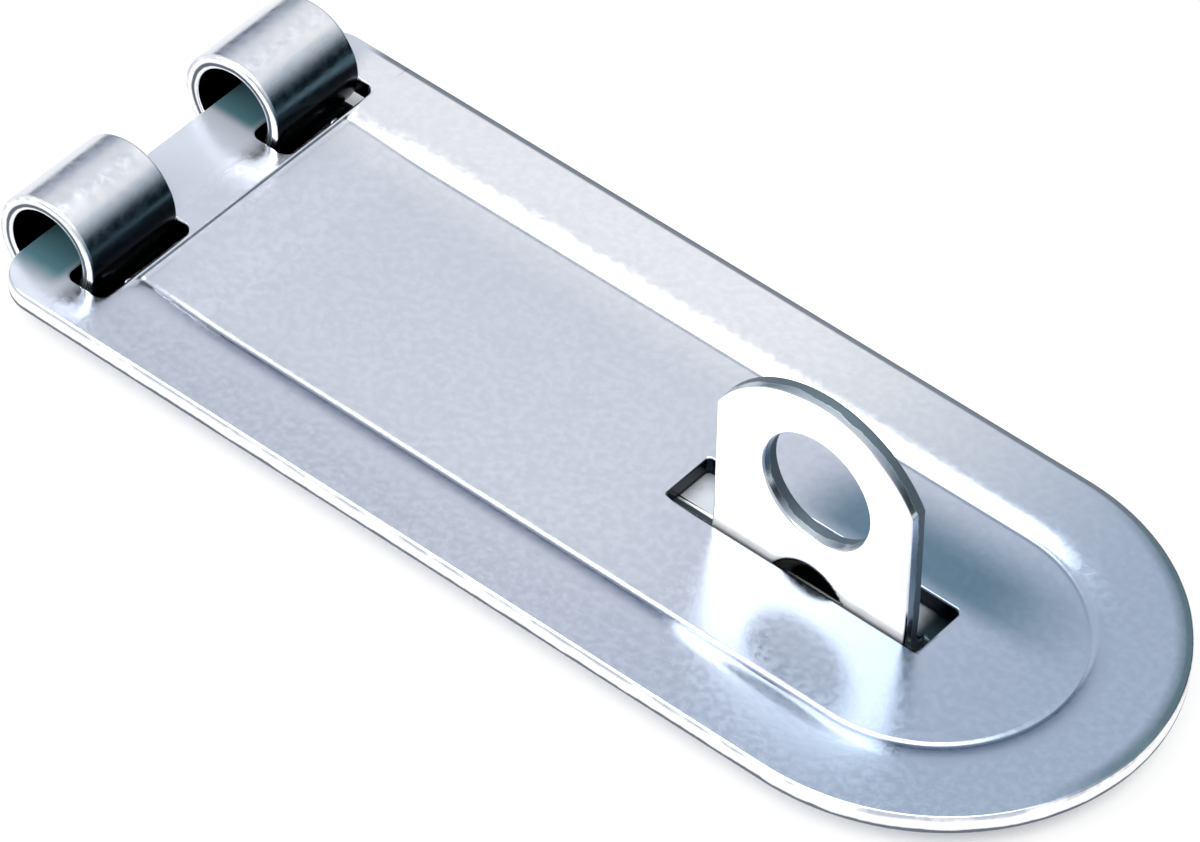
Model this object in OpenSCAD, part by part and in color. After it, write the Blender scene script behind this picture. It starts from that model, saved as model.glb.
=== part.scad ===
// Shrouded padlock hasp, closed: a hinged strap over a hinge leaf and a staple.
// X runs along the strap from the hinge axis, Y across it, Z up from the
// mounting surface. Everything is pressed from sheet, in millimetres.

/* [Sheet] */
// Thickness of the strap
strap_t = 2; // [1.5:0.1:2.5]
// Thickness of the hinge leaf and of its two knuckles
leaf_t = 1.5; // [1.2:0.1:1.7]
// Thickness of the staple, plate and eye
staple_t = 2; // [1.5:0.1:2]

/* [Strap] */
// Width of the strap, which is also the diameter of its round end
strap_w = 45; // [42:0.5:60]
// Centre of the eye to the tip of the round end
tip_l = 33.4; // [31:0.1:40]
// How far the middle panel is pressed below the rim
panel_depth = 0.6; // [0.3:0.1:0.9]
// Width of the flat rim around the panel
rim_w = 7.2; // [5:0.1:9]
// Width of the sloping step from the rim down to the panel
step_w = 1.4; // [0.8:0.1:2]
// Plan radius of the two corners at the hinge end
corner_r = 4; // [2:0.5:4]
// Radius in the corners of the slot
slot_r = 0.4; // [0.2:0.1:1]

/* [Slot for the eye] */
// Centre of the eye to the slot end nearer the hinge
slot_back = 15.4; // [13:0.1:16]
// Length of the slot
slot_l = 27.4; // [26.5:0.1:30]
// Width of the slot
slot_w = 6.2; // [6:0.1:8]

/* [Hinge] */
// Inner radius of the knuckles
bore_r = 4.05; // [4.05:0.05:4.5]
// Radial clearance of the strap's end bar in the knuckles
hinge_gap = 0.05; // [0.02:0.01:0.1]
// Length of one knuckle
knuckle_l = 11; // [9:0.5:11]
// Distance from the centre line to the inner end of a knuckle
knuckle_y = 6.8; // [6:0.1:7]
// Distance from the hinge axis to the strap's square end
back_l = 2.4; // [2:0.1:2.4]
// Window edge on the hinge side, from the hinge axis
window_x0 = 2.65; // [2:0.05:2.65]
// Gap between a knuckle and the end of its window
window_gap = 0.5; // [0.3:0.1:1]
// Window edge on the panel side, from the hinge axis
window_x = 7; // [6.8:0.1:8]
// Angle where the knuckle's rolled edge stops, below level
curl_stop = 40; // [20:1:44]

/* [Hinge leaf] */
// Length of the leaf from the hinge axis
leaf_l = 45; // [40:0.5:48]
// Width of the leaf
leaf_w = 36; // [35.8:0.1:37]
// Screw rows, from the hinge axis to the first row
screw_x0 = 15; // [13:0.5:16]
// Spacing of the leaf's screws along the strap
screw_dx = 21; // [18:0.5:22]
// Spacing of the leaf's screws across the strap
screw_dy = 22; // [18:0.5:24]
// Diameter of the screw holes
screw_d = 4.6; // [4:0.1:5]
// Diameter of the countersinks
sink_d = 8.6; // [8:0.1:9]
// Height at which the countersinks start
sink_z = 0.6; // [0.4:0.1:0.8]
// Plan radius of the leaf's corners
leaf_r = 3; // [1:0.5:4]

/* [Staple] */
// Gap between the hinge leaf and the staple's plate
staple_gap = 7.3; // [2:0.1:12]
// Width of the eye
eye_w = 21; // [18:0.1:21]
// Height of the eye's crown above the mounting surface
eye_top = 24.1; // [22:0.1:26]
// Radius of the eye's crown
crown_r = 12; // [11.5:0.1:14]
// Height of the middle of the eye's hole
hole_z = 14.6; // [13:0.1:15]
// Diameter of the hole for the padlock's shackle
hole_d = 11.3; // [8:0.1:12]
// Front face of the eye, from the centre line
eye_front = -2.8; // [-2.9:0.1:-2.5]
// Inner radius of the bend between eye and plate
fold_r = 1; // [0.8:0.1:1.5]
// Plan radius of the corners of the staple's plate
plate_r = 2; // [1:0.5:3]
// Length of the staple's plate along the strap
plate_l = 42; // [40:0.5:42]
// Far edge of the staple's plate, from the centre line
plate_y1 = 18; // [16:0.5:18]
// Near edge of the plate on both sides of the eye, from the centre line
plate_y0 = -1; // [-1.5:0.1:0]
// Spacing of the staple's two screws
staple_dx = 31; // [28:0.5:32]
// Distance of the staple's screws from the centre line
staple_y = 11; // [10:0.5:12]
// Radius of the stiffening dent pressed into the bend
dent_r = 5; // [4:0.5:6]
// Height at which the dent runs out in the eye's front face
dent_top = 5.6; // [5:0.1:6]

/* [Hidden] */
$fn = 96;
over = 1;
big = 300;
axis_z = leaf_t + bore_r;
knuckle_r = bore_r + leaf_t;
panel_z = staple_t;
rim_z = panel_z + panel_depth;
eye_x = leaf_l + staple_gap + plate_l / 2;
slot_x0 = eye_x - slot_back;
strap_reach = eye_x + tip_l;
end_r = strap_w / 2;
end_x = strap_reach - end_r;
panel_r = end_r - rim_w - step_w;
pin_r = bore_r - hinge_gap;
window_r = 1;
window_y0 = knuckle_y - window_gap;
window_y1 = knuckle_y + knuckle_l + window_gap;
leaf_x0 = -2;
fold_out = fold_r + staple_t;
fold_y = eye_front + fold_out;
plate_x0 = eye_x - plate_l / 2;
dent_wall = staple_t * 0.8;

// A rectangle from one corner to the other.
module box2(x0, y0, x1, y1) {
    translate([x0, y0])
        square([x1 - x0, y1 - y0]);
}

// A rectangle with rounded corners, made of plain rectangles and circles.
module round_box(x0, y0, x1, y1, r) {
    box2(x0 + r, y0, x1 - r, y1);
    box2(x0, y0 + r, x1, y1 - r);
    for (x = [x0 + r, x1 - r])
        for (y = [y0 + r, y1 - r])
            translate([x, y])
                circle(r);
}

// A profile drawn in X and Z, pulled along Y from y0 to y1.
module along_y(y0, y1) {
    translate([0, y1, 0])
        rotate([90, 0, 0])
            linear_extrude(y1 - y0)
                children();
}

// Plan of a tongue of half width r: straight sides and a round end.
module tongue(x0, r) {
    box2(x0, -r, end_x, r);
    translate([end_x, 0])
        circle(r);
}

// Plan of the strap, with rounded corners at the hinge end.
module strap_plan() {
    box2(window_x, -end_r, end_x, end_r);
    round_box(-back_l, -end_r, window_x + corner_r, end_r, corner_r);
    translate([end_x, 0])
        circle(end_r);
}

// The rim and the panel: one sheet with its middle pressed down.
module pressed_sheet() {
    difference() {
        union() {
            translate([0, 0, rim_z])
                linear_extrude(strap_t)
                    strap_plan();
            step_body(panel_z);
        }
        step_body(panel_z + strap_t);
    }
}

// The pressed-down middle: straight sloping sides and a sloping round end.
module step_body(z0) {
    r0 = panel_r;
    r1 = panel_r + step_w;
    translate([end_x, 0, z0])
        cylinder(h = panel_depth, r1 = r0, r2 = r1);
    translate([end_x, 0, z0])
        rotate([90, 0, -90])
            linear_extrude(end_x - window_x)
                polygon([[-r0, 0], [r0, 0], [r1, panel_depth], [-r1, panel_depth]]);
    translate([0, 0, z0 + panel_depth])
        linear_extrude(strap_t)
            tongue(window_x, r1);
}

// The strap: rim, sunk panel, slot, two windows and the bar at the hinge end.
module strap() {
    color("gainsboro")
    difference() {
        pressed_sheet();
        translate([0, 0, -over])
            linear_extrude(big)
                round_box(slot_x0, -slot_w / 2, slot_x0 + slot_l, slot_w / 2, slot_r);
        for (s = [-1, 1])
            window(s);
    }
}

// The window that one knuckle comes up through, and the bar's play in the knuckle.
module window(s) {
    y0 = s > 0 ? window_y0 : -window_y1;
    y1 = s > 0 ? window_y1 : -window_y0;
    translate([0, 0, -over])
        linear_extrude(big)
            round_box(window_x0, y0, window_x, y1, window_r);
    translate([0, y1, axis_z])
        rotate([90, 0, 0])
            difference() {
                cylinder(h = y1 - y0, r = knuckle_r + window_gap);
                translate([0, 0, -over])
                    cylinder(h = y1 - y0 + 2 * over, r = pin_r);
            }
}

// Side view of a knuckle: the leaf's edge rolled up, over and down.
module knuckle_profile() {
    difference() {
        translate([0, axis_z])
            circle(knuckle_r);
        translate([0, axis_z])
            circle(bore_r);
        polygon([
            [0, axis_z],
            [big * cos(curl_stop), axis_z - big * sin(curl_stop)],
            [big * cos(curl_stop), -big],
            [0, -big]
        ]);
    }
}

// The hinge leaf: a plate with two edges rolled into knuckles.
module base_leaf() {
    color("silver")
    difference() {
        union() {
            linear_extrude(leaf_t)
                round_box(leaf_x0, -leaf_w / 2, leaf_l, leaf_w / 2, leaf_r);
            for (s = [-1, 1])
                along_y(s > 0 ? knuckle_y : -knuckle_y - knuckle_l,
                        s > 0 ? knuckle_y + knuckle_l : -knuckle_y)
                    knuckle_profile();
        }
        for (x = [screw_x0, screw_x0 + screw_dx])
            for (y = [-screw_dy / 2, screw_dy / 2])
                screw_hole(x, y, leaf_t);
    }
}

// A countersunk screw hole through a plate of thickness t.
module screw_hole(x, y, t) {
    depth = (sink_d - screw_d) / 2;
    translate([x, y, -over])
        cylinder(h = t + 2 * over, d = screw_d);
    translate([x, y, sink_z])
        cylinder(h = depth, d1 = screw_d, d2 = sink_d);
}

// Front view of the eye above its bend.
module eye_front_view() {
    intersection() {
        box2(eye_x - eye_w / 2, fold_out, eye_x + eye_w / 2, eye_top + over);
        translate([eye_x, eye_top - crown_r])
            circle(crown_r);
    }
    box2(eye_x - eye_w / 2, fold_out, eye_x + eye_w / 2, eye_top - crown_r);
}

// The quarter-round bend from the plate up into the eye.
module fold() {
    translate([eye_x - eye_w / 2, fold_y, fold_out])
        rotate([0, 90, 0])
            intersection() {
                difference() {
                    cylinder(h = eye_w, r = fold_out);
                    translate([0, 0, -over])
                        cylinder(h = eye_w + 2 * over, r = fold_r);
                }
                translate([0, -fold_out, 0])
                    cube([fold_out, fold_out, eye_w]);
            }
}

// A bar of round section that crosses the bend at 45 degrees.
module dent_bar(r) {
    side = dent_r / sqrt(2);
    reach = dent_r + fold_out;
    translate([eye_x, eye_front - side, dent_top - side])
        rotate([-135, 0, 0])
            translate([0, 0, -dent_r])
                cylinder(h = dent_r + 2 * reach, r = r);
}

// The staple: a screw plate with the eye bent up, stiffened by a dent.
module staple() {
    color("whitesmoke")
    difference() {
        union() {
            translate([0, eye_front + staple_t, 0])
                rotate([90, 0, 0])
                    linear_extrude(staple_t)
                        eye_front_view();
            fold();
            linear_extrude(staple_t)
                difference() {
                    round_box(plate_x0, plate_y0, plate_x0 + plate_l, plate_y1, plate_r);
                    box2(eye_x - eye_w / 2, plate_y0 - over, eye_x + eye_w / 2, fold_y);
                }
            intersection() {
                dent_bar(dent_r + dent_wall);
                translate([eye_x - dent_r, eye_front + staple_t / 2, staple_t / 2])
                    cube([2 * dent_r, 2 * fold_out, 2 * fold_out]);
            }
        }
        dent_bar(dent_r);
        translate([eye_x, eye_front - over, hole_z])
            rotate([-90, 0, 0])
                cylinder(h = staple_t + 2 * over, d = hole_d);
        for (s = [-1, 1])
            screw_hole(eye_x + s * staple_dx / 2, staple_y, staple_t);
    }
}

strap();
base_leaf();
staple();
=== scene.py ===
"""Shrouded padlock hasp, closed: a pressed strap over a hinge leaf and a staple.

The three pressings are modelled as the press shop makes them: a flat blank is
drawn, cut along its bend lines, wrapped round its bends and given the sheet's
thickness, and its edges are rounded. Lengths are in millimetres until a piece
is finished, and the frame is in metres.
"""

import logging
import math
from collections.abc import Callable, Iterable
from dataclasses import dataclass, field
from enum import Enum
from functools import cache

import bmesh
import bpy
from mathutils import Matrix, Vector
from mathutils.bvhtree import BVHTree

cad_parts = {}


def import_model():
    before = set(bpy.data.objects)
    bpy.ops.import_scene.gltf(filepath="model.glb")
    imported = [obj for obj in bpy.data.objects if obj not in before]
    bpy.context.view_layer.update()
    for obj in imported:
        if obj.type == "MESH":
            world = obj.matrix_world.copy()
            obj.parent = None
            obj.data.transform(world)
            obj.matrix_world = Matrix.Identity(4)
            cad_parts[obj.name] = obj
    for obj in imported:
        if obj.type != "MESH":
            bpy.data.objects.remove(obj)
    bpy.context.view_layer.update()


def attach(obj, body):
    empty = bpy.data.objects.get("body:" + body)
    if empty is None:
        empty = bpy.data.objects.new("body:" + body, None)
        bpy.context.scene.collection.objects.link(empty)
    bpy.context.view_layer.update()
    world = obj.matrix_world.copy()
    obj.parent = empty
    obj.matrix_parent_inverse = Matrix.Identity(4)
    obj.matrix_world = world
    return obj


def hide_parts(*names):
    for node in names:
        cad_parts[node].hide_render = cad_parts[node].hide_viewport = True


LOG = logging.getLogger("hasp")
Point = tuple[float, float]
Place = tuple[float, float, float]
Colour = tuple[float, float, float]
Mapping = Callable[[float, float], Vector]
BMesh = bmesh.types.BMesh
Piece = bpy.types.Object
Node = bpy.types.Node
Socket = bpy.types.NodeSocket
Edge = bmesh.types.BMEdge

MM = 0.001
SAME = 1e-4  # Vertices this close are one.
HAIR = 1e-5  # How close to a cut a vertex has to lie to be on it.
REACH = 0.1  # How far past its own sides a bend still holds.
SIDES = (-1, 1)
OBJECT_CENTRE = (0.045, 0.0, 0.0)  # In metres.


class Axis(Enum):
    """The two directions of a blank."""

    ALONG = 0
    ACROSS = 1


def steps_between(low: float, high: float, count: int) -> list[float]:
    """Returns count equal steps from low to high, both ends included."""
    return [low + (high - low) * k / count for k in range(count + 1)]


def smooth_step(t: float) -> float:
    """Returns t, held between 0 and 1 and eased at both ends."""
    t = min(max(t, 0.0), 1.0)
    return t * t * (3 - 2 * t)


def smooth_max(a: float, b: float, blend: float) -> float:
    """Returns the larger of two heights, rounded off over blend where they meet."""
    gap = max(blend - abs(a - b), 0.0) / blend
    return max(a, b) + gap * gap * blend / 4


def placed(place: Place, z_axis: Vector) -> Matrix:
    """Returns the transform of something at place whose Z axis points along z_axis."""
    return Matrix.Translation(place) @ z_axis.to_track_quat("Z", "Y").to_matrix().to_4x4()


def linked(name: str, data: bpy.types.ID) -> Piece:
    """Adds an object to the scene.

    Args:
        name: The object's name.
        data: Its mesh, lamp or camera.

    Returns:
        The object.
    """
    made = bpy.data.objects.new(name, data)
    bpy.context.scene.collection.objects.link(made)
    return made


def modify(piece: Piece, name: str, kind: str, **settings: object) -> None:
    """Adds a modifier to a piece.

    Args:
        piece: The piece.
        name: The modifier's name.
        kind: Its type.
        **settings: Its properties.
    """
    modifier = piece.modifiers.new(name, kind)
    for key, value in settings.items():
        setattr(modifier, key, value)


def lathe(profile: Iterable[Point], centre: Point, steps: int = 48) -> BMesh:
    """Spins a profile of radius and height round a vertical axis.

    Args:
        profile: Points of radius and height, from the axis back to the axis.
        centre: The axis in the XY plane.
        steps: Segments round the axis.

    Returns:
        A closed solid.
    """
    bm = bmesh.new()
    verts = [bm.verts.new((centre[0] + r, centre[1], z)) for r, z in profile]
    edges = [bm.edges.new(pair) for pair in zip(verts, verts[1:])]
    bmesh.ops.spin(
        bm, geom=[*verts, *edges], cent=(*centre, 0), axis=(0, 0, 1), angle=math.tau,
        steps=steps, use_merge=True,
    )
    bmesh.ops.remove_doubles(bm, verts=bm.verts, dist=SAME)
    bmesh.ops.recalc_face_normals(bm, faces=bm.faces)
    return bm


@dataclass
class Blank:
    """A flat blank, as a bmesh in the XY plane, before it is bent.

    Its loops are drawn first, then filled, then cut along the bend lines.
    """

    bm: BMesh = field(default_factory=bmesh.new)
    corner_merge: float = 1e-3
    weld_distance: float = 0.04

    def outline(
        self, points: Iterable[Point], radii: dict[int, float] | None = None, steps: int = 8,
    ) -> None:
        """Adds a closed outline, with some of its corners rounded.

        Args:
            points: The outline's corners.
            radii: The radius of each rounded corner, by its place in points.
            steps: Segments in each rounded corner.
        """
        plate = bmesh.new()
        verts = [plate.verts.new((x, y, 0)) for x, y in points]
        plate.faces.new(verts)
        for place, radius in (radii or {}).items():
            bmesh.ops.bevel(
                plate, geom=[verts[place]], offset=radius, offset_type="OFFSET",
                affect="VERTICES", segments=steps, profile=0.5, material=-1,
                clamp_overlap=False,
            )
        bmesh.ops.remove_doubles(plate, verts=plate.verts, dist=self.corner_merge)
        bmesh.ops.delete(plate, geom=list(plate.faces), context="FACES_ONLY")
        self.take(plate)

    def rectangle(self, low: Point, high: Point, radius: float, steps: int = 6) -> None:
        """Adds a rectangle's outline, with its four corners rounded."""
        corners = [low, (high[0], low[1]), high, (low[0], high[1])]
        self.outline(corners, dict.fromkeys(range(4), radius), steps)

    def take(self, other: BMesh) -> None:
        """Adds another bmesh's geometry to the blank and frees it.

        Args:
            other: The bmesh to add.
        """
        mesh = bpy.data.meshes.new("part")
        other.to_mesh(mesh)
        other.free()
        self.bm.from_mesh(mesh)
        bpy.data.meshes.remove(mesh)

    def hole(self, centre: Point, radius: float, steps: int = 64) -> None:
        """Adds a round hole's outline."""
        place = Matrix.Translation((*centre, 0))
        bmesh.ops.create_circle(
            self.bm, cap_ends=False, radius=radius, segments=steps, matrix=place,
        )

    def fill(self) -> None:
        """Fills the sheet between the outlines."""
        bmesh.ops.remove_doubles(self.bm, verts=self.bm.verts, dist=SAME)
        loose = [v for v in self.bm.verts if not v.link_edges]
        bmesh.ops.delete(self.bm, geom=loose, context="VERTS")
        self.span(self.bm.edges)
        self.face_up()

    def span(self, edges: Iterable[Edge]) -> None:
        """Fills the area between some of the blank's edges with triangles."""
        bmesh.ops.triangle_fill(self.bm, use_beauty=True, use_dissolve=False, edges=edges)

    def face_up(self) -> None:
        """Turns each of the blank's faces upwards."""
        flipped = [f for f in self.bm.faces if f.normal.z < 0]
        bmesh.ops.reverse_faces(self.bm, faces=flipped)

    def cut(
        self, axis: Axis, places: Iterable[float], within: tuple[Point, Point] | None = None,
    ) -> None:
        """Cuts the blank along straight lines.

        Args:
            axis: The direction that the lines' places are measured in.
            places: The lines' places.
            within: The corners of the part of the blank that is cut, or None for all.
        """
        normal = Vector((1, 0, 0)) if axis is Axis.ALONG else Vector((0, 1, 0))
        for place in places:
            faces = [f for f in self.bm.faces if within is None or self._inside(f, within)]
            edges = dict.fromkeys(e for f in faces for e in f.edges)
            verts = dict.fromkeys(v for f in faces for v in f.verts)
            bmesh.ops.bisect_plane(
                self.bm, geom=[*faces, *edges, *verts], dist=HAIR,
                plane_co=normal * place, plane_no=normal,
            )

    @staticmethod
    def _inside(face: bmesh.types.BMFace, within: tuple[Point, Point]) -> bool:
        """Tells whether a face lies in part of the blank, given by two of its corners."""
        (x0, y0), (x1, y1) = within
        return all(
            x0 - SAME <= v.co.x <= x1 + SAME and y0 - SAME <= v.co.y <= y1 + SAME
            for v in face.verts
        )

    def wrap(self, mapping: Mapping) -> None:
        """Moves each vertex from the flat blank to its place in the pressing."""
        for vert in self.bm.verts:
            vert.co = mapping(vert.co.x, vert.co.y)

    def weld(self) -> None:
        """Joins what lies in the same place."""
        bmesh.ops.remove_doubles(self.bm, verts=self.bm.verts, dist=self.weld_distance)


@dataclass(frozen=True)
class SheetMaker:
    """Turns a wrapped blank into a finished sheet with rounded edges."""

    thickness: float
    edge_round: float = 0.28
    round_steps: int = 3
    round_angle: float = 38.0

    def make(self, name: str, blank: Blank, cutters: Iterable[BMesh] = ()) -> Piece:
        """Thickens the blank inwards, cuts it and rounds its edges.

        Args:
            name: The piece's name.
            blank: The wrapped blank, whose faces point away from the sheet.
            cutters: Closed solids that are taken out of the sheet.

        Returns:
            The finished piece, in metres, with one modifier left, which weighs
            its normals. Its sheared walls use the second material slot.
        """
        mesh = bpy.data.meshes.new(name)
        outer = BVHTree.FromBMesh(blank.bm)
        blank.bm.to_mesh(mesh)
        piece = linked(name, mesh)
        for slot_name in ("face", "wall"):
            mesh.materials.append(bpy.data.materials.new(f"{name}_{slot_name}"))
        modify(
            piece, "thickness", "SOLIDIFY", thickness=self.thickness, offset=-1,
            use_even_offset=False, use_quality_normals=True, material_offset_rim=1,
        )
        helpers = [self._cutter(piece, bm) for bm in cutters]
        self._bake(piece)
        self._mark(piece.data)
        modify(
            piece, "edges", "BEVEL", width=self.edge_round, segments=self.round_steps,
            profile=0.5, limit_method="WEIGHT", use_clamp_overlap=False, material=-1,
        )
        self._bake(piece)
        self._finish(piece, outer)
        for helper in helpers:
            bpy.data.objects.remove(helper)
        return piece

    @staticmethod
    def _cutter(piece: Piece, bm: BMesh) -> Piece:
        """Adds a Boolean cut to a piece.

        Args:
            piece: The piece that is cut.
            bm: The closed solid that is taken out of it.

        Returns:
            The helper object that holds the solid.
        """
        mesh = bpy.data.meshes.new("cutter")
        for material in piece.data.materials:
            mesh.materials.append(material)
        for face in bm.faces:
            face.material_index = 1
        bm.to_mesh(mesh)
        helper = linked("cutter", mesh)
        modify(piece, "cut", "BOOLEAN", operation="DIFFERENCE", solver="EXACT", object=helper)
        return helper

    @staticmethod
    def _bake(piece: Piece) -> None:
        """Applies the modifiers.

        Args:
            piece: The piece that has them.
        """
        graph = bpy.context.evaluated_depsgraph_get()
        mesh = bpy.data.meshes.new_from_object(piece.evaluated_get(graph))
        piece.modifiers.clear()
        piece.data = mesh

    def _mark(self, mesh: bpy.types.Mesh) -> None:
        """Marks the edges between the sheet's faces and its sheared walls for rounding.

        Args:
            mesh: The thickened sheet.
        """
        bm = bmesh.new()
        bm.from_mesh(mesh)
        bmesh.ops.remove_doubles(bm, verts=bm.verts, dist=SAME)
        weight = bm.edges.layers.float.new("bevel_weight_edge")
        for edge in bm.edges:
            kinds = {face.material_index for face in edge.link_faces}
            sharp = edge.calc_face_angle(0.0) > math.radians(self.round_angle)
            edge[weight] = 1.0 if len(kinds) == 2 and sharp else 0.0
        bm.to_mesh(mesh)
        bm.free()

    def _finish(self, piece: Piece, outer: BVHTree) -> None:
        """Merges, points faces outwards, keeps the sheet's depth and scales to metres.

        Args:
            piece: The piece to finish.
            outer: The blank's outer face, from which the sheet's depth is kept.
        """
        mesh = piece.data
        bm = bmesh.new()
        bm.from_mesh(mesh)
        bmesh.ops.remove_doubles(bm, verts=bm.verts, dist=SAME)
        bmesh.ops.dissolve_degenerate(bm, dist=HAIR, edges=bm.edges)
        bmesh.ops.recalc_face_normals(bm, faces=bm.faces)
        layer = bm.verts.layers.float.new("depth")
        for vert in bm.verts:
            vert[layer] = outer.find_nearest(vert.co)[3] / self.thickness
        bmesh.ops.scale(bm, vec=(MM, MM, MM), verts=bm.verts)
        for face in bm.faces:
            face.smooth = True
        bm.to_mesh(mesh)
        bm.free()
        modify(
            piece, "normals", "WEIGHTED_NORMAL", mode="FACE_AREA", weight=80, keep_sharp=False,
        )


class Graph:
    """A node tree that is written in short steps."""

    def __init__(self, tree: bpy.types.NodeTree) -> None:
        """Keeps the tree that the nodes go into."""
        self.tree = tree

    @classmethod
    def cleared(cls, owner: bpy.types.Material | bpy.types.World) -> "Graph":
        """Removes all nodes.

        Args:
            owner: The material or world that has them.

        Returns:
            Its empty graph.
        """
        owner.use_nodes = True
        owner.node_tree.nodes.clear()
        return cls(owner.node_tree)

    def add(
        self, kind: str, values: dict[str | int, object] | None = None, **settings: object,
    ) -> Node:
        """Adds a node.

        Args:
            kind: The node's type, without its ShaderNode prefix.
            values: Each input's value, or the output socket that feeds it.
            **settings: Properties of the node itself.

        Returns:
            The node.
        """
        node = self.tree.nodes.new(f"ShaderNode{kind}")
        for key, value in settings.items():
            setattr(node, key, value)
        self.feed(node, values or {})
        return node

    def feed(self, node: Node, values: dict[str | int, object]) -> None:
        """Sets a node's inputs.

        Args:
            node: The node.
            values: Each input's value, or the output socket that feeds it.
        """
        for key, value in values.items():
            if isinstance(value, Socket):
                self.tree.links.new(value, node.inputs[key])
            else:
                node.inputs[key].default_value = value

    def math(self, operation: str, *values: object) -> Socket:
        """Adds a Math node and returns its output."""
        return self.add("Math", dict(enumerate(values)), operation=operation).outputs[0]

    def ramp(self, value: Socket, low: float, high: float, out: Point = (0, 1)) -> Socket:
        """Returns value taken smoothly from out[0] at low to out[1] at high."""
        names = ("Value", "From Min", "From Max", "To Min", "To Max")
        values = dict(zip(names, (value, low, high, *out)))
        return self.add("MapRange", values, interpolation_type="SMOOTHSTEP").outputs[0]

    def mix(self, factor: object, a: object, b: object) -> Socket:
        """Mixes two colours and returns the result."""
        return self.add("Mix", {0: factor, 6: a, 7: b}, data_type="RGBA").outputs[2]

    def noise(self, vector: Socket, scale: object, detail: float, rough: float) -> Socket:
        """Returns a noise value over a position."""
        values = {"Vector": vector, "Scale": scale, "Detail": detail, "Roughness": rough}
        return self.add("TexNoise", values).outputs["Fac"]

    def attribute(self, name: str) -> Socket:
        """Returns a value that the mesh keeps for each of its vertices."""
        return self.add("Attribute", attribute_name=name).outputs["Fac"]

    def outside_ray(self) -> Socket:
        """Returns 1 for a ray from the camera, off a reflection or through glass, or else 0."""
        path = self.add("LightPath")
        seen = self.math("MAXIMUM", path.outputs["Is Camera Ray"], path.outputs["Is Glossy Ray"])
        return self.math("MAXIMUM", seen, path.outputs["Is Transmission Ray"])


class Groups:
    """The effects that several finishes share, each a node group that is built once."""

    GRAIN_SCALE = 5.0
    STAIN_SCALE = 0.31
    WOBBLE_SCALE = 420.0
    STREAK_SCALE = 2600.0
    NICK_SCALE = 150.0

    @staticmethod
    def _new(
        name: str, inputs: tuple[str, ...], outputs: tuple[str, ...],
    ) -> tuple[Graph, Node, Node]:
        """Makes an empty group with its sockets.

        Args:
            name: The group's name.
            inputs: The names of its inputs besides Vector, which are all numbers.
            outputs: The names of its outputs, which are all numbers.

        Returns:
            The group's graph, its input node and its output node.
        """
        tree = bpy.data.node_groups.new(name, "ShaderNodeTree")
        tree.interface.new_socket("Vector", in_out="INPUT", socket_type="NodeSocketVector")
        for way, keys in (("INPUT", inputs), ("OUTPUT", outputs)):
            for key in keys:
                tree.interface.new_socket(key, in_out=way, socket_type="NodeSocketFloat")
        graph = Graph(tree)
        return graph, tree.nodes.new("NodeGroupInput"), tree.nodes.new("NodeGroupOutput")

    @classmethod
    @cache
    def mottle(cls) -> bpy.types.NodeTree:
        """Returns zinc's cloudy bloom: patches, a few darker stains and a fine relief."""
        g, start, end = cls._new("zinc_mottle", ("Scale",), ("Patches", "Stains", "Height"))
        vector, scale = start.outputs["Vector"], start.outputs["Scale"]
        patches = g.ramp(g.noise(vector, scale, detail=5.0, rough=0.62), 0.36, 0.64)
        fine = g.noise(vector, g.math("MULTIPLY", scale, cls.GRAIN_SCALE), detail=3.0, rough=0.6)
        grain = g.ramp(fine, 0.3, 0.7)
        wide = g.noise(vector, g.math("MULTIPLY", scale, cls.STAIN_SCALE), detail=4.0, rough=0.66)
        height = g.math("ADD", g.math("MULTIPLY", patches, 0.4), g.math("MULTIPLY", grain, 0.6))
        g.feed(end, {"Patches": patches, "Stains": g.ramp(wide, 0.52, 0.72), "Height": height})
        return g.tree

    @classmethod
    @cache
    def sheared(cls) -> bpy.types.NodeTree:
        """Returns a sheared edge: a burnished band with nicks, a torn band and a clean lip."""
        g, start, end = cls._new(
            "sheared_edge", ("Depth", "Burnish", "Ragged", "Lip"), ("Torn", "Nick", "Height"),
        )
        vector = start.outputs["Vector"]
        noise = g.noise(vector, cls.WOBBLE_SCALE, detail=4.0, rough=0.6)
        wobble = g.math("MULTIPLY", g.math("SUBTRACT", noise, 0.5), start.outputs["Ragged"])
        depth = g.math("ADD", start.outputs["Depth"], wobble)
        after = g.math("SUBTRACT", depth, start.outputs["Burnish"])
        past_lip = g.math("SUBTRACT", depth, start.outputs["Lip"])
        torn = g.math("MULTIPLY", g.ramp(after, -0.02, 0.07), g.ramp(past_lip, -0.04, 0.04, (1, 0)))
        streaks = g.noise(vector, cls.STREAK_SCALE, detail=3.0, rough=0.7)
        along = g.noise(vector, cls.NICK_SCALE, detail=4.0, rough=0.65)
        nick = g.math("MULTIPLY", g.ramp(depth, 0.30, 0.16), g.ramp(along, 0.42, 0.56))
        g.feed(end, {"Torn": torn, "Nick": nick, "Height": g.math("MULTIPLY", streaks, torn)})
        return g.tree


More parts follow.
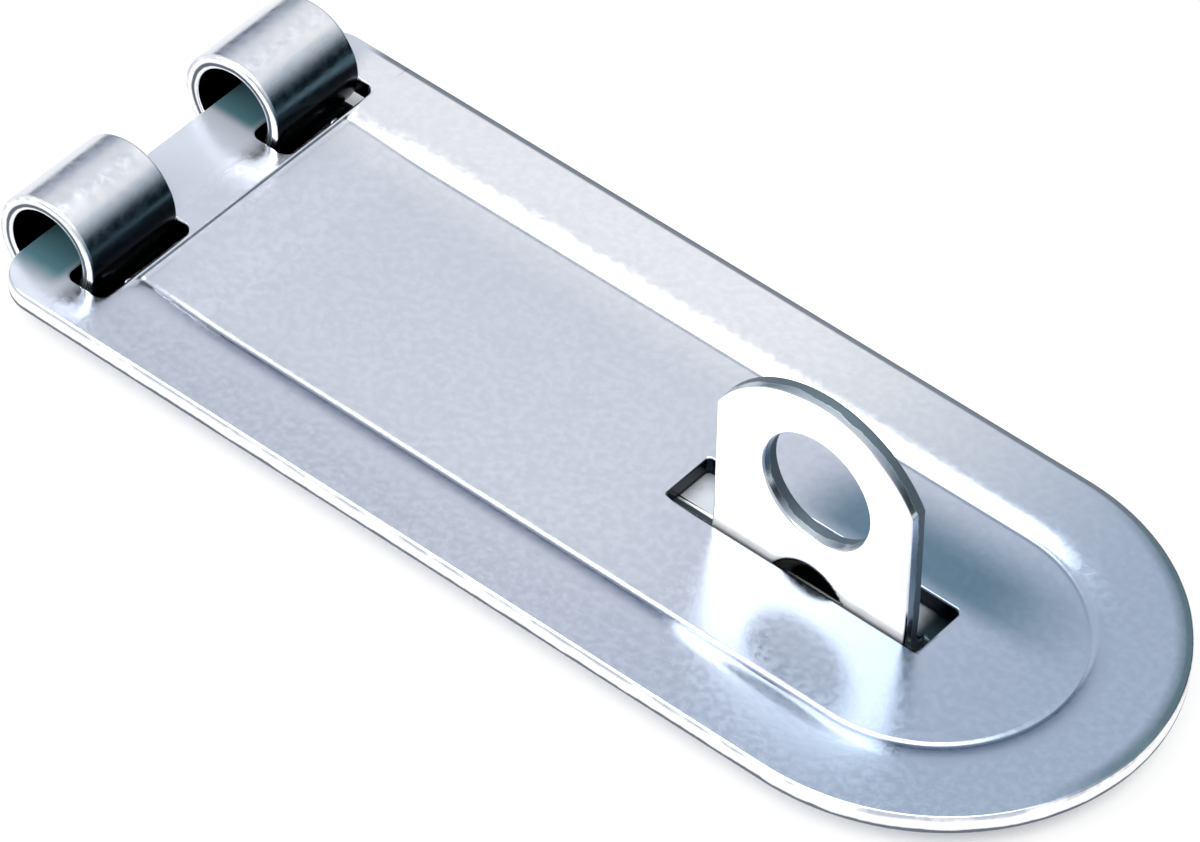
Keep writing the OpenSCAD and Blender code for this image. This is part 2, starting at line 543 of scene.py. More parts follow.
@dataclass(frozen=True)
class Shade:
    """A part of a face painted another colour: painted shade, a painted dark reflection, or plain
    zinc on the underside.

    Each limit is an axis, X, Y, Z, SIDE, RIM or DEPTH, then the place in millimetres
    where the shade starts and the place where it is full. SIDE is the distance
    from the middle line, RIM the same round the strap's end, and DEPTH the share
    of the sheet's thickness below its outer face.
    """

    colour: Colour
    limits: tuple[tuple[str, float, float], ...]
    share: float = 1.0
    metallic: float | None = None

    def mask(self, g: Graph, axes: dict[str, Socket]) -> Socket:
        """Adds the nodes that limit the shade.

        Args:
            g: The material's graph.
            axes: The value of each axis, in metres, but RIM and DEPTH as they are kept.

        Returns:
            How much of the shade lies at a place.
        """
        mask = self.share
        for axis, start, full in self.limits:
            unit = 1.0 if axis in ("DEPTH", "RIM") else MM
            mask = g.math("MULTIPLY", mask, g.ramp(axes[axis], start * unit, full * unit))
        return mask


@dataclass(frozen=True)
class ZincFace:
    """Zinc plate on the faces of a pressing, painted lighter towards the far side as the light
    falls there, and with painted shades.
    """

    near: Colour
    middle: Colour
    far: Colour
    shades: tuple[Shade, ...] = ()
    sides: tuple[float, float, float, float] = (-0.021, -0.010, 0.008, 0.019)
    scale: float = 1300.0
    roughness: Point = (0.17, 0.25)
    relief: float = 0.000004
    bloom: Point = (0.16, 0.05)
    bloom_colour: Colour = (0.25, 0.30, 0.42)
    patch_share: float = 0.7
    stain_share: float = 0.9
    metallic: float = 1.0

    def dress(self, material: bpy.types.Material) -> None:
        """Gives a material this finish.

        Args:
            material: The material, whose own nodes are removed.
        """
        g, shader = new_shader(material)
        vector = g.add("TexCoord").outputs["Object"]
        place = g.add("SeparateXYZ", {"Vector": vector})
        axes = {axis: place.outputs[axis] for axis in "XYZ"}
        axes["SIDE"] = g.math("ABSOLUTE", axes["Y"])
        axes["DEPTH"] = g.attribute("depth")
        axes["RIM"] = g.attribute("rim")
        mottle = g.add(
            "Group", {"Vector": vector, "Scale": self.scale}, node_tree=Groups.mottle(),
        )
        patches = mottle.outputs["Patches"]
        # Painted light: the colour goes from near to middle to far across the pressing.
        colour = g.mix(g.ramp(axes["Y"], *self.sides[:2]), (*self.near, 1), (*self.middle, 1))
        colour = g.mix(g.ramp(axes["Y"], *self.sides[2:]), colour, (*self.far, 1))
        cloud = g.math(
            "ADD", g.math("MULTIPLY", patches, self.patch_share),
            g.math("MULTIPLY", mottle.outputs["Stains"], self.stain_share),
        )
        bloom = g.ramp(axes["Y"], *self.sides[:2], self.bloom)
        colour = g.mix(g.math("MULTIPLY", cloud, bloom), colour, (*self.bloom_colour, 1))
        metallic = self.metallic
        # Each shade paints its colour over the zinc, mostly as painted shade.
        for shade in self.shades:
            mask = shade.mask(g, axes)
            colour = g.mix(mask, colour, (*shade.colour, 1))
            if shade.metallic is not None:
                change = shade.metallic - self.metallic
                metallic = g.math("MULTIPLY_ADD", mask, change, metallic)
        smooth, rough = self.roughness
        bump = g.add("Bump", {"Height": mottle.outputs["Height"], "Distance": self.relief})
        g.feed(shader, {
            "Base Color": colour, "Metallic": metallic,
            "Roughness": g.ramp(patches, 0, 1, (rough, smooth)), "Normal": bump.outputs[0],
        })


@dataclass(frozen=True)
class ZincEdge:
    """Zinc plate on a sheared edge, which runs from burnished to torn, with painted shade on the
    strap's inner walls.
    """

    bright: Colour
    torn: Colour
    burnish: float = 0.74
    ragged: float = 0.22
    lip: float = 2.0
    relief: float = 0.00002
    roughness: Point = (0.25, 0.6)
    painted_hollow_shade: Colour = (0.012, 0.016, 0.022)
    painted_hollow_shade_depth: Point = (0.02, 0.10)
    dull: Colour = (0.52, 0.55, 0.62)

    def dress(self, material: bpy.types.Material) -> None:
        """Gives a material this finish.

        Args:
            material: The material, whose own nodes are removed.
        """
        g, shader = new_shader(material)
        vector = g.add("TexCoord").outputs["Object"]
        depth = g.attribute("depth")
        edge = g.add("Group", {
            "Vector": vector, "Depth": depth, "Burnish": self.burnish, "Ragged": self.ragged,
            "Lip": self.lip,
        }, node_tree=Groups.sheared())
        colour = g.mix(edge.outputs["Torn"], (*self.bright, 1), (*self.torn, 1))
        colour = g.mix(edge.outputs["Nick"], colour, (*self.dull, 1))
        # Painted shade: the walls of the strap's windows and slot go near black below the top.
        inside = g.math("MULTIPLY", g.attribute("painted_shade_area"), g.ramp(depth, *self.painted_hollow_shade_depth))
        colour = g.mix(inside, colour, (*self.painted_hollow_shade, 1))
        bump = g.add("Bump", {"Height": edge.outputs["Height"], "Distance": self.relief})
        g.feed(shader, {
            "Base Color": colour, "Metallic": 1.0,
            "Roughness": g.ramp(edge.outputs["Torn"], 0, 1, self.roughness),
            "Normal": bump.outputs[0],
        })


def new_shader(material: bpy.types.Material) -> tuple[Graph, Node]:
    """Clears a material.

    Args:
        material: The material.

    Returns:
        Its graph and its Principled shader.
    """
    g = Graph.cleared(material)
    shader = g.add("BsdfPrincipled")
    g.add("OutputMaterial", {"Surface": shader.outputs[0]})
    return g, shader


@dataclass(frozen=True)
class ScrewHole:
    """A countersunk screw hole."""

    radius: float = 2.3
    sink_bottom: float = 0.6
    over: float = 1.0

    def cutters(self, centres: Iterable[Point], top: float) -> list[BMesh]:
        """Makes the solids that are taken out of a plate.

        Args:
            centres: The holes' places.
            top: The height of the plate's face.

        Returns:
            The solids, which stand past both sides of the plate.
        """
        above = top + self.over
        widest = self.radius + top + self.over - self.sink_bottom
        profile = [
            (0, -self.over), (self.radius, -self.over), (self.radius, self.sink_bottom),
            (widest, above), (0, above),
        ]
        return [lathe(profile, centre) for centre in centres]


class Pressing:
    """A piece that is pressed from one sheet, with a finish for its faces and one for its edges."""

    def finishes(self) -> tuple[ZincFace, ZincEdge]:
        """Returns the finish of the piece's faces and that of its sheared walls."""
        raise NotImplementedError

    def dress(self, piece: Piece) -> None:
        """Gives the piece's two materials their finishes."""
        for material, finish in zip(piece.data.materials, self.finishes()):
            finish.dress(material)


@dataclass
class Strap(Pressing):
    """The hinged strap: rim, sunk panel, slot, and two windows beside the end bar."""

    thickness: float = 2.0
    edge_round: float = 0.22
    half_width: float = 22.5
    back_x: float = -2.4
    end_x: float = 84.2
    join_x: float = 10.0
    spare_x: float = -60.0
    rim_top: float = 4.6
    panel_top: float = 4.0
    panel_half: float = 13.9
    panel_x: float = 7.45
    crease: float = 0.32
    crease_share: float = 0.45
    sink_x: Point = (8.5, 17.5)
    groove: float = 0.09
    groove_width: float = 0.5
    groove_rise: float = 0.45
    groove_spare: float = 0.05
    fade: float = 2.6
    fade_power: float = 2.2
    fade_marks: tuple[float, ...] = (0.0, 0.06, 0.14, 0.26, 0.45, 0.7, 1.0, 1.35, 1.75, 2.15)
    flat_after: float = 0.6
    corner: float = 4.0
    corner_steps: int = 14
    end_steps: int = 56
    slot_low: Point = (57.9, -3.1)
    slot_high: Point = (85.3, 3.1)
    slot_corner: float = 0.5
    window_x: Point = (2.65, 7.0)
    window_y: Point = (6.3, 18.3)
    window_corner: float = 1.0
    outer_band: float = 1.0

    def stations(self) -> list[float]:
        """Returns the distances from the middle line at which the sheet's level changes."""
        inner = self.panel_half
        dips = steps_between(inner - self.groove_width - self.groove_spare, inner, 5)[:-1]
        marks = [inner + mark for mark in (*self.fade_marks, self.fade)]
        return [*dips, *marks, inner + self.fade + self.flat_after]

    def level(self, x: float, y: float) -> float:
        """Returns the height of the sheet's top, which is rim, step or panel.

        Args:
            x: The place along the strap.
            y: The place across it.

        Returns:
            The height.
        """
        off = self.off_line(x, y) - self.panel_half
        across = (1 - min(max(off / self.fade, 0.0), 1.0)) ** self.fade_power
        rise = smooth_step(off / self.groove_rise)
        dip = smooth_step(off / self.groove_width + 1) * (1 - rise)
        start = smooth_step((x - self.panel_x) / self.crease + 0.5)
        rest = smooth_step((x - self.sink_x[0]) / (self.sink_x[1] - self.sink_x[0]))
        along = self.crease_share * start + (1 - self.crease_share) * rest
        sunk = (self.rim_top - self.panel_top) * across * along
        return self.rim_top - sunk - self.groove * dip * along

    def off_line(self, x: float, y: float) -> float:
        """Returns the distance from the middle line, which ends at the round end's centre."""
        return abs(y) if x < self.end_x else math.hypot(x - self.end_x, y)

    def hinge_end(self) -> Blank:
        """Returns the square end with its windows, to where the panel is flat."""
        blank = Blank()
        half, back, join = self.half_width, self.back_x, self.join_x
        blank.outline(
            [(back, -half), (join, -half), (join, half), (back, half)],
            {0: self.corner, 3: self.corner}, self.corner_steps,
        )
        for side in SIDES:
            y0, y1 = sorted((side * self.window_y[0], side * self.window_y[1]))
            low, high = (self.window_x[0], y0), (self.window_x[1], y1)
            blank.rectangle(low, high, self.window_corner)
        blank.fill()
        crease = steps_between(self.panel_x - self.crease / 2, self.panel_x + self.crease / 2, 4)
        blank.cut(Axis.ALONG, [*crease, self.panel_x + self.flat_after])
        blank.cut(Axis.ACROSS, [side * w for side in SIDES for w in self.stations()])
        return blank

    def round_end(self) -> Blank:
        """Returns the flat rim, the step and the panel with its slot."""
        flat = Blank()
        half, back = self.half_width, self.spare_x
        far = self.end_x + half
        flat.outline(
            [(back, -half), (far, -half), (far, half), (back, half)],
            {1: half, 2: half}, self.end_steps,
        )
        bmesh.ops.contextual_create(flat.bm, geom=list(flat.bm.edges))
        rings = [half, *reversed(self.stations())]
        for wide, narrow in zip(rings, rings[1:]):
            bmesh.ops.inset_region(
                flat.bm, faces=[self._largest(flat)], thickness=wide - narrow,
                use_boundary=True, use_even_offset=True,
            )
        bmesh.ops.delete(flat.bm, geom=[self._largest(flat)], context="FACES")
        everything = [*flat.bm.faces, *flat.bm.edges, *flat.bm.verts]
        bmesh.ops.bisect_plane(
            flat.bm, geom=everything, dist=HAIR, plane_co=(self.join_x, 0, 0),
            plane_no=(1, 0, 0), clear_inner=True,
        )
        flat.rectangle(self.slot_low, self.slot_high, self.slot_corner, steps=4)
        slot = [e for e in flat.bm.edges if not e.link_faces]
        flat.span([*self._panel_border(flat), *slot])
        return flat

    @staticmethod
    def _largest(flat: Blank) -> bmesh.types.BMFace:
        """Returns a blank's largest face."""
        return max(flat.bm.faces, key=lambda f: f.calc_area())

    def _panel_border(self, flat: Blank) -> list[Edge]:
        """Closes the open side of the opening for the panel.

        Args:
            flat: The rim and step, cut off at the join.

        Returns:
            The edges round the opening.
        """
        slack = 0.02
        reach = self.stations()[0] + slack
        ring = [
            e for e in flat.bm.edges
            if len(e.link_faces) == 1
            and all(self.off_line(v.co.x, v.co.y) < reach for v in e.verts)
        ]
        at_join = {v for e in ring for v in e.verts if abs(v.co.x - self.join_x) < slack}
        ends = sorted(at_join, key=lambda v: v.co.y)
        return [*ring, flat.bm.edges.get(ends) or flat.bm.edges.new(ends)]

    def build(self) -> Piece:
        """Returns the finished strap, which stands for its CAD node."""
        blank = self.hinge_end()
        blank.take(self.round_end().bm)
        blank.weld()
        blank.cut(Axis.ALONG, steps_between(*self.sink_x, 6))
        blank.weld()
        blank.face_up()
        blank.wrap(lambda x, y: Vector((x, y, self.level(x, y))))
        piece = SheetMaker(self.thickness, self.edge_round).make("strap_pressing", blank)
        places = [(vert.co.x / MM, vert.co.y / MM) for vert in piece.data.vertices]
        back, side = self.back_x + self.outer_band, self.half_width - self.outer_band
        # The first attribute marks the cut-outs, whose walls are painted dark as shade, and rim
        # holds the distance from the middle line.
        values = {
            "painted_shade_area": [float(back < x and self.off_line(x, y) < side) for x, y in places],
            "rim": [self.off_line(x, y) for x, y in places],
        }
        for name, numbers in values.items():
            layer = piece.data.attributes.new(name, "FLOAT", "POINT")
            layer.data.foreach_set("value", numbers)
        return piece

    def finishes(self) -> tuple[ZincFace, ZincEdge]:
        """Returns the finish of the strap's faces and that of its sheared walls."""
        # Painted shade: the strap's faces darken towards the round end.
        sunk = Shade((0.37, 0.45, 0.57), (("X", 48.0, 98.0),))
        # Painted shadow of the eye, on the panel behind it and to its right.
        eye_shadow_painted = Shade(
            (0.08, 0.17, 0.24),
            (("X", 64.0, 72.0), ("X", 98.0, 84.0), ("Y", 1.8, 5.0), ("Y", 13.5, 7.0)), 0.85,
        )
        # Painted dark reflection along the far outer edge.
        far_edge_painted_reflection = Shade((0.16, 0.19, 0.23), (("RIM", 21.7, 22.0), ("Y", 0.0, 6.0)), 0.9)
        # Painted dark reflection on the round end's outer edge.
        end_edge_painted_reflection = Shade(
            (0.10, 0.17, 0.20), (("RIM", 20.6, 22.1), ("X", 84.0, 96.0), ("Y", -12.0, -2.0)), 0.8,
        )
        # Painted shade along the slot's near edge, in front of the eye.
        slot_edge_painted_shade = Shade(
            (0.02, 0.025, 0.03),
            (("Y", -3.45, -3.3), ("Y", 0.0, -1.0), ("X", 58.0, 62.0), ("X", 85.8, 85.2)),
        )
        underside = Shade((0.56, 0.60, 0.67), (("DEPTH", 0.80, 0.92),))
        # The end bar is less metallic zinc, and its face is painted darker as shade beside the
        # knuckles.
        end_bar_painted_shade = Shade((0.45, 0.48, 0.55), (("X", 5.5, 2.6), ("DEPTH", 0.9, 0.8)), 1.0, 0.35)
        # Painted shade, teal, on the end bar inside the knuckles.
        in_knuckles_painted_shade = Shade(
            (0.09, 0.20, 0.24), (("X", 3.4, 1.8), ("SIDE", 6.0, 7.4), ("SIDE", 21.0, 18.0)),
        )
        # Painted light: the strap's faces are much lighter towards the far side.
        face = ZincFace(
            near=(0.56, 0.60, 0.69), middle=(0.66, 0.69, 0.77), far=(0.90, 0.91, 0.93),
            shades=(
                sunk, eye_shadow_painted, far_edge_painted_reflection, end_edge_painted_reflection, slot_edge_painted_shade, underside, end_bar_painted_shade, in_knuckles_painted_shade,
            ),
        )
        return face, ZincEdge(bright=(0.95, 0.96, 0.98), torn=(0.16, 0.18, 0.21))


@dataclass
class HingeLeaf(Pressing):
    """The screw plate whose edge is rolled into two knuckles."""

    thickness: float = 1.5
    length: float = 45.0
    back: float = -2.0
    half_width: float = 18.0
    corner: float = 3.0
    shoulder: float = 1.5
    bore: float = 4.05
    curl: float = 310.0
    curl_steps: int = 78
    knuckle_y: Point = (6.8, 17.8)
    relief: float = 0.4
    screws_x: Point = (15.0, 36.0)
    screws_y: float = 11.0

    def __post_init__(self) -> None:
        """Works out the roll's radius and the length of blank that it takes."""
        self.radius = self.bore + self.thickness
        self.roll = self.radius * math.radians(self.curl)

    def place(self, x: float, y: float) -> Vector:
        """Bends the blank.

        Args:
            x: The place along the blank, below 0 in the roll.
            y: The place across it.

        Returns:
            Where that point lies on the leaf's outer face.
        """
        rolled = x < 0 and self.knuckle_y[0] - REACH < abs(y) < self.knuckle_y[1] + REACH
        if not rolled:
            return Vector((x, y, 0))
        angle = -math.pi / 2 + x / self.radius
        height = self.radius + self.radius * math.sin(angle)
        return Vector((self.radius * math.cos(angle), y, height))

    def build(self) -> Piece:
        """Returns the finished hinge leaf, which stands for its CAD node."""
        inner, outer = self.knuckle_y
        half, far, end, shoulder = self.half_width, self.length, -self.roll, self.shoulder
        step = inner - self.relief
        upper = [
            (far, half), (shoulder, half), (0, outer), (end, outer), (end, inner), (0, inner),
            (0, step), (self.back, step),
        ]
        lower = [(x, -y) for x, y in reversed(upper)]
        blank = Blank()
        blank.outline([*upper, *lower], {0: self.corner, 2 * len(upper) - 1: self.corner})
        blank.fill()
        blank.cut(Axis.ALONG, steps_between(end, 0, self.curl_steps)[1:])
        blank.weld()
        blank.wrap(self.place)
        bmesh.ops.reverse_faces(blank.bm, faces=blank.bm.faces)
        screws = [(x, side * self.screws_y) for x in self.screws_x for side in SIDES]
        cutters = ScrewHole().cutters(screws, self.thickness)
        return SheetMaker(self.thickness).make("leaf_pressing", blank, cutters)

    def finishes(self) -> tuple[ZincFace, ZincEdge]:
        """Returns the finish of the leaf's faces and that of its sheared walls."""
        # Painted shade on the right side of the rolls, going teal.
        roll_side_painted_shade = Shade(
            (0.12, 0.21, 0.27), (("X", 1.2, 3.0), ("X", 10.5, 7.0), ("Z", 10.4, 8.4)),
        )
        # Painted shade, near black, on the rolls' lower right and on the plate under the windows.
        in_windows_painted_shade = Shade(
            (0.008, 0.012, 0.016), (("X", 2.2, 4.2), ("X", 10.5, 7.0), ("Z", 9.2, 6.6)),
        )
        # Painted shade, near black, on the inner face of the rolls and the plate's underside by
        # them.
        bores_painted_shade = Shade((0.006, 0.009, 0.012), (("DEPTH", 0.80, 0.92), ("X", 10.0, 6.6)))
        # Painted light: the leaf's faces are a little lighter towards the far side.
        face = ZincFace(
            near=(0.74, 0.76, 0.81), middle=(0.74, 0.76, 0.81), far=(0.82, 0.83, 0.86),
            scale=900.0, bloom=(0.08, 0.08), shades=(roll_side_painted_shade, in_windows_painted_shade, bores_painted_shade),
        )
        edge = ZincEdge(
            bright=(0.93, 0.94, 0.96), torn=(0.12, 0.14, 0.17),
            burnish=0.50, ragged=0.16, lip=0.76,
        )
        return face, edge


@dataclass
class Staple(Pressing):
    """The screw plate with the eye bent up through the slot."""

    thickness: float = 2.0
    edge_round: float = 0.32
    eye_x: float = 73.3
    eye_half: float = 10.5
    eye_top: float = 24.1
    crown: float = 12.0
    crown_steps: int = 40
    hole_z: float = 14.6
    hole_radius: float = 5.65
    hole_lean: float = 0.4
    front: float = -2.8
    bend: float = 3.0
    plate_half: float = 21.0
    plate_y: Point = (-1.0, 18.0)
    corner: float = 2.0
    relief: float = 0.4
    screw_dx: float = 15.5
    screw_y: float = 11.0
    dent_radius: float = 5.0
    dent_top: float = 5.6
    dent_blend: float = 0.5
    lean: float = -0.9
    lean_from: float = 6.0
    fine_top: float = 8.4
    fine_back: float = 2.4
    fine_half: float = 6.0

    def __post_init__(self) -> None:
        """Works out where the fold starts and how long it is on the blank."""
        self.fold_y = self.front + self.bend
        self.arc = self.bend * math.pi / 2

    def place(self, x: float, t: float) -> Vector:
        """Bends the blank.

        Args:
            x: The place along the strap.
            t: The place on the blank, which falls from the plate's far edge
                through the fold to the crown.

        Returns:
            Where that point lies on the staple's outer face.
        """
        run = self.fold_y - t
        in_eye = abs(x - self.eye_x) < self.eye_half + REACH
        if run <= 0 or not in_eye:
            return Vector((x, t, 0))
        if run < self.arc:
            angle = run / self.bend
            y = self.fold_y - self.bend * math.sin(angle)
            return self._dented(Vector((x, y, self.bend - self.bend * math.cos(angle))))
        z = self.bend + run - self.arc
        lean = self.lean * max(z - self.lean_from, 0.0) / (self.eye_top - self.lean_from)
        return self._dented(Vector((x + lean, self.front, z)))

    def _dented(self, point: Vector) -> Vector:
        """Pushes a point of the fold in where the stiffening dent is pressed.

        Args:
            point: The point before the dent.

        Returns:
            Where it lies afterwards.
        """
        side = self.dent_radius / math.sqrt(2)
        inward = Vector((0, 1, 1)).normalized()
        off = point - Vector((self.eye_x, self.front - side, self.dent_top - side))
        across = abs(point.x - self.eye_x)
        if across >= self.dent_radius:
            return point
        height = off.dot(inward)
        floor = math.sqrt(self.dent_radius**2 - across**2)
        return point + inward * (smooth_max(height, floor, self.dent_blend) - height)

    def unrolled(self, z: float) -> float:
        """Returns the place on the blank of a height in the eye."""
        return self.fold_y - self.arc - (z - self.bend)

    def build(self) -> Piece:
        """Returns the finished staple, which stands for its CAD node."""
        x0, x1 = self.eye_x - self.plate_half, self.eye_x + self.plate_half
        e0, e1 = self.eye_x - self.eye_half, self.eye_x + self.eye_half
        low, high = self.plate_y
        gap, fold = self.relief, self.fold_y
        points = [
            (x0, high), (x0, low), (e0 - gap, low), (e0 - gap, fold), (e0, fold),
            *self._crown_points(),
            (e1, fold), (e1 + gap, fold), (e1 + gap, low), (x1, low), (x1, high),
        ]
        last = len(points) - 1
        blank = Blank()
        blank.outline(points, dict.fromkeys((0, 1, last - 1, last), self.corner), steps=6)
        hole_x = self.eye_x - self.lean * self.hole_lean
        blank.hole((hole_x, self.unrolled(self.hole_z)), self.hole_radius)
        blank.fill()
        self._cut_foot(blank)
        blank.weld()
        blank.wrap(self.place)
        bmesh.ops.reverse_faces(blank.bm, faces=blank.bm.faces)
        screws = [(self.eye_x + side * self.screw_dx, self.screw_y) for side in SIDES]
        cutters = ScrewHole().cutters(screws, self.thickness)
        maker = SheetMaker(self.thickness, self.edge_round)
        return maker.make("staple_pressing", blank, cutters)

    def _cut_foot(self, blank: Blank) -> None:
        """Cuts the eye's foot finely, where it is folded and dented.

        Args:
            blank: The staple's filled blank.
        """
        fold, top = self.fold_y, self.unrolled(self.fine_top)
        folds = steps_between(fold - self.arc, fold, 12)
        near = steps_between(fold, fold + self.fine_back, 5)[1:]
        rise = steps_between(top, self.unrolled(self.bend), 12)
        blank.cut(Axis.ACROSS, folds + near + rise)
        spare_x, spare_y = 0.01, 0.6
        foot = (
            (self.eye_x - self.eye_half - spare_x, top),
            (self.eye_x + self.eye_half + spare_x, fold + self.fine_back + spare_y),
        )
        columns = steps_between(self.eye_x - self.fine_half, self.eye_x + self.fine_half, 30)
        blank.cut(Axis.ALONG, columns, within=foot)

    def _crown_points(self) -> list[Point]:
        """Returns the eye's outline on the blank, from one foot over the crown to the other."""
        reach = math.asin(self.eye_half / self.crown)
        centre = self.eye_top - self.crown
        return [
            (
                self.eye_x + self.crown * math.sin(angle),
                self.unrolled(centre + self.crown * math.cos(angle)),
            )
            for angle in steps_between(-reach, reach, self.crown_steps)
        ]

    def finishes(self) -> tuple[ZincFace, ZincEdge]:
        """Returns the finish of the staple's faces and that of its sheared walls."""
        underside = Shade((0.55, 0.58, 0.63), (("DEPTH", 0.80, 0.92),))
        # Painted shade on the plate's top beside the eye's right foot, under the slot.
        beside_eye_painted_shade = Shade((0.015, 0.03, 0.036), (
            ("DEPTH", 0.70, 0.85), ("X", 81.0, 83.4), ("X", 88.0, 86.0), ("Y", 5.6, 3.4),
            ("Z", 6.0, 4.0),
        ), 1.0, 1.0)
        # Painted shade, near black, in the dent at the eye's foot.
        in_dent_painted_shade = Shade(
            (0.004, 0.005, 0.006), (("Y", -2.79, -2.72), ("Z", 7.6, 6.4), ("DEPTH", 0.7, 0.5)),
            1.0, 1.0,
        )
        # Painted light: the staple's faces are a little darker towards the far side.
        face = ZincFace(
            near=(0.88, 0.89, 0.90), middle=(0.88, 0.89, 0.90), far=(0.86, 0.87, 0.89),
            scale=700.0, bloom=(0.09, 0.09), metallic=0.4, roughness=(0.30, 0.42),
            shades=(underside, beside_eye_painted_shade, in_dent_painted_shade),
        )
        edge = ZincEdge(
            bright=(0.46, 0.53, 0.58), torn=(0.12, 0.16, 0.19), burnish=0.42, ragged=0.45,
        )
        return face, edge


def studio_plane(name: str, size: Point, place: Matrix) -> tuple[Piece, Graph]:
    """Adds a rectangle beside or under the object.

    Args:
        name: The name of the rectangle and its material.
        size: Its width and height.
        place: Its transform.

    Returns:
        The rectangle and its material's empty graph.
    """
    bm = bmesh.new()
    bmesh.ops.create_grid(bm, x_segments=1, y_segments=1, size=0.5)
    bmesh.ops.scale(bm, vec=(*size, 1), verts=bm.verts)
    bm.transform(place)
    mesh = bpy.data.meshes.new(name)
    bm.to_mesh(mesh)
    bm.free()
    material = bpy.data.materials.new(name)
    mesh.materials.append(material)
    return linked(name, mesh), Graph.cleared(material)


@dataclass(frozen=True)
class Card:
    """A card beside the object, which only reflections see.

    It shines with one colour up to the lower of two heights, and with the
    other from the higher one.
    """

    name: str
    centre: Place
    size: Point
    low: Colour
    high: Colour
    heights: Point

    def build(self) -> None:
        """Adds the card, turned towards the object."""
        aim = Vector(OBJECT_CENTRE) - Vector(self.centre)
        card, g = studio_plane(self.name, self.size, placed(self.centre, aim))
        place = g.add("SeparateXYZ", {"Vector": g.add("TexCoord").outputs["Object"]})
        height = g.ramp(place.outputs["Z"], *self.heights)
        colour = g.mix(height, (*self.low, 1), (*self.high, 1))
        glow = g.add("Emission", {"Color": colour, "Strength": 1.0})
        g.add("OutputMaterial", {"Surface": glow.outputs[0]})
        card.visible_camera = False
        card.visible_diffuse = False
        card.visible_shadow = False


@dataclass(frozen=True)
class Lamp:
    """A square soft lamp that faces the object."""

    name: str
    place: Place
    size: float
    power: float

    def build(self) -> None:
        """Adds the lamp."""
        data = bpy.data.lights.new(self.name, "AREA")
        data.shape = "SQUARE"
        data.size = self.size
        data.energy = self.power
        aim = Vector(self.place) - Vector(OBJECT_CENTRE)
        linked(self.name, data).matrix_world = placed(self.place, aim)


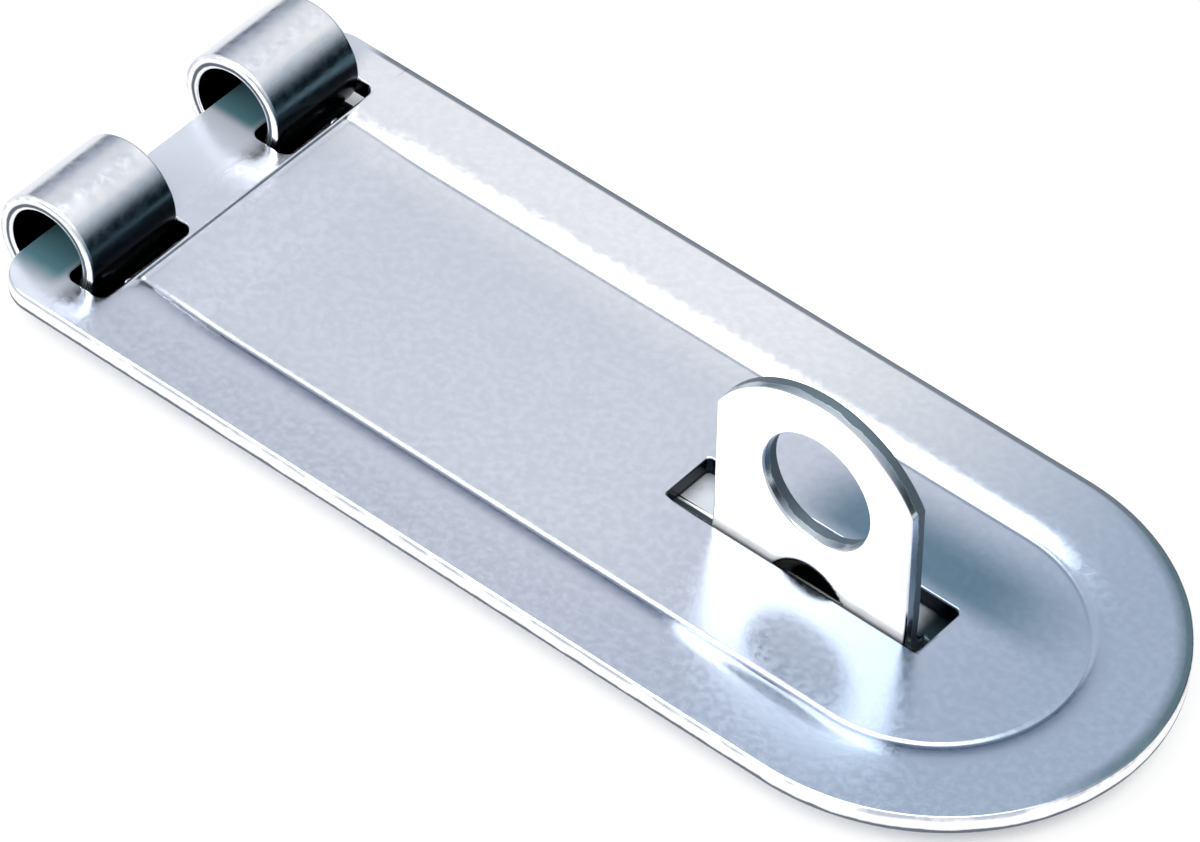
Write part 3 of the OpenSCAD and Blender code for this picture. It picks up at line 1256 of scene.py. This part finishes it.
@dataclass(frozen=True)
class Studio:
    """The pale floor, the surroundings, the lamps, the cards and the camera."""

    target: Place = (0.04739, 0.00111, 0.0026)
    azimuth: float = 36.2685
    elevation: float = 45.1104
    roll: float = 4.3885
    distance: float = 0.72185
    lens: float = 250.06
    floor_side: float = 6.0
    floor_colour: Colour = (0.85, 0.87, 0.9)
    floor_glow: float = 0.85
    contact: float = 0.012
    contact_share: Point = (0.10, 0.42)
    light_share: float = 0.75
    lamps: tuple[Lamp, ...] = (
        Lamp("overhead", (0.0, -0.1, 0.9), size=0.9, power=9.0),
        Lamp("front_left", (-0.45, -0.75, 0.45), size=0.6, power=8.0),
    )
    cards: tuple[Card, ...] = (
        Card(
            "card_right", (0.50, 0.42, 0.24), (0.95, 0.72),
            low=(0.01, 0.02, 0.03), high=(0.62, 0.68, 0.74), heights=(0.18, 0.52),
        ),
        Card(
            "card_back", (-0.25, 0.72, 0.22), (1.3, 0.55),
            low=(0.12, 0.15, 0.21), high=(0.46, 0.50, 0.58), heights=(0.08, 0.34),
        ),
        Card(
            "card_sky", (-0.26, 0.42, 0.50), (0.7, 0.5),
            low=(0.44, 0.48, 0.56), high=(0.87, 0.88, 0.91), heights=(0.30, 0.46),
        ),
    )

    def build(self) -> None:
        """Sets the whole studio up."""
        self._camera()
        self._floor()
        self._world()
        for thing in (*self.lamps, *self.cards):
            thing.build()

    def _camera(self) -> None:
        """Puts the camera where the photograph was taken from."""
        az, el, roll = map(math.radians, (self.azimuth, self.elevation, self.roll))
        back = Vector((math.sin(az) * math.cos(el), -math.cos(az) * math.cos(el), math.sin(el)))
        right = Vector((math.cos(az), math.sin(az), 0))
        up = back.cross(right)
        across = math.cos(roll) * right + math.sin(roll) * up
        above = math.cos(roll) * up - math.sin(roll) * right
        bpy.context.scene.view_settings.view_transform = "Standard"
        data = bpy.data.cameras.new("camera")
        data.lens = self.lens
        data.sensor_width = 36.0
        data.sensor_fit = "HORIZONTAL"
        data.clip_start = 0.01
        camera = linked("camera", data)
        turn = Matrix((across, above, back)).transposed().to_4x4()
        stand = Matrix.Translation(Vector(self.target) + back * self.distance)
        camera.matrix_world = stand @ turn
        bpy.context.scene.camera = camera

    def _floor(self) -> None:
        """Adds the pale floor, which shows white except close under the object."""
        size = (self.floor_side, self.floor_side)
        floor, g = studio_plane("floor", size, Matrix.Identity(4))
        matt = g.add("BsdfDiffuse", {"Color": (*self.floor_colour, 1)})
        white = g.add("Emission", {"Color": (1, 1, 1, 1), "Strength": 1.0})
        seen = g.outside_ray()
        sky = g.add("AmbientOcclusion", {"Distance": self.contact}, samples=8).outputs["AO"]
        glow = g.ramp(sky, *self.contact_share, (0.0, self.floor_glow))
        share = g.math("MULTIPLY", seen, glow)
        both = g.add("MixShader", {0: share, 1: matt.outputs[0], 2: white.outputs[0]})
        g.add("OutputMaterial", {"Surface": both.outputs[0]})

    def _world(self) -> None:
        """Makes the surroundings, white to the eye and in reflections and dimmer as light."""
        world = bpy.data.worlds.new("studio")
        g = Graph.cleared(world)
        extra = g.math("MULTIPLY", g.outside_ray(), 1 - self.light_share)
        strength = g.math("ADD", self.light_share, extra)
        sky = g.add("Background", {"Color": (1, 1, 1, 1), "Strength": strength})
        g.add("OutputWorld", {"Surface": sky.outputs[0]})
        bpy.context.scene.world = world


def own(piece: Piece, nodes: tuple[str, ...], body: str) -> None:
    """Hands a finished piece to the frame.

    Args:
        piece: The piece.
        nodes: The CAD nodes that it stands for.
        body: The body that it moves with.
    """
    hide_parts(*nodes)
    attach(piece, body)
    LOG.info("%s: %d faces on %s", piece.name, len(piece.data.polygons), body)


def main() -> None:
    """Builds the hasp and its studio."""
    logging.basicConfig(level=logging.INFO, format="%(name)s: %(message)s")
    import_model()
    Studio().build()

    kinds = (Strap(), HingeLeaf(), Staple())
    strap, leaf, staple = pieces = [kind.build() for kind in kinds]
    own(strap, ("strap",), "strap")
    own(leaf, ("base_leaf",), "fixed")
    own(staple, ("staple",), "fixed")
    for kind, piece in zip(kinds, pieces):
        kind.dress(piece)


if __name__ == "__main__":
    main()
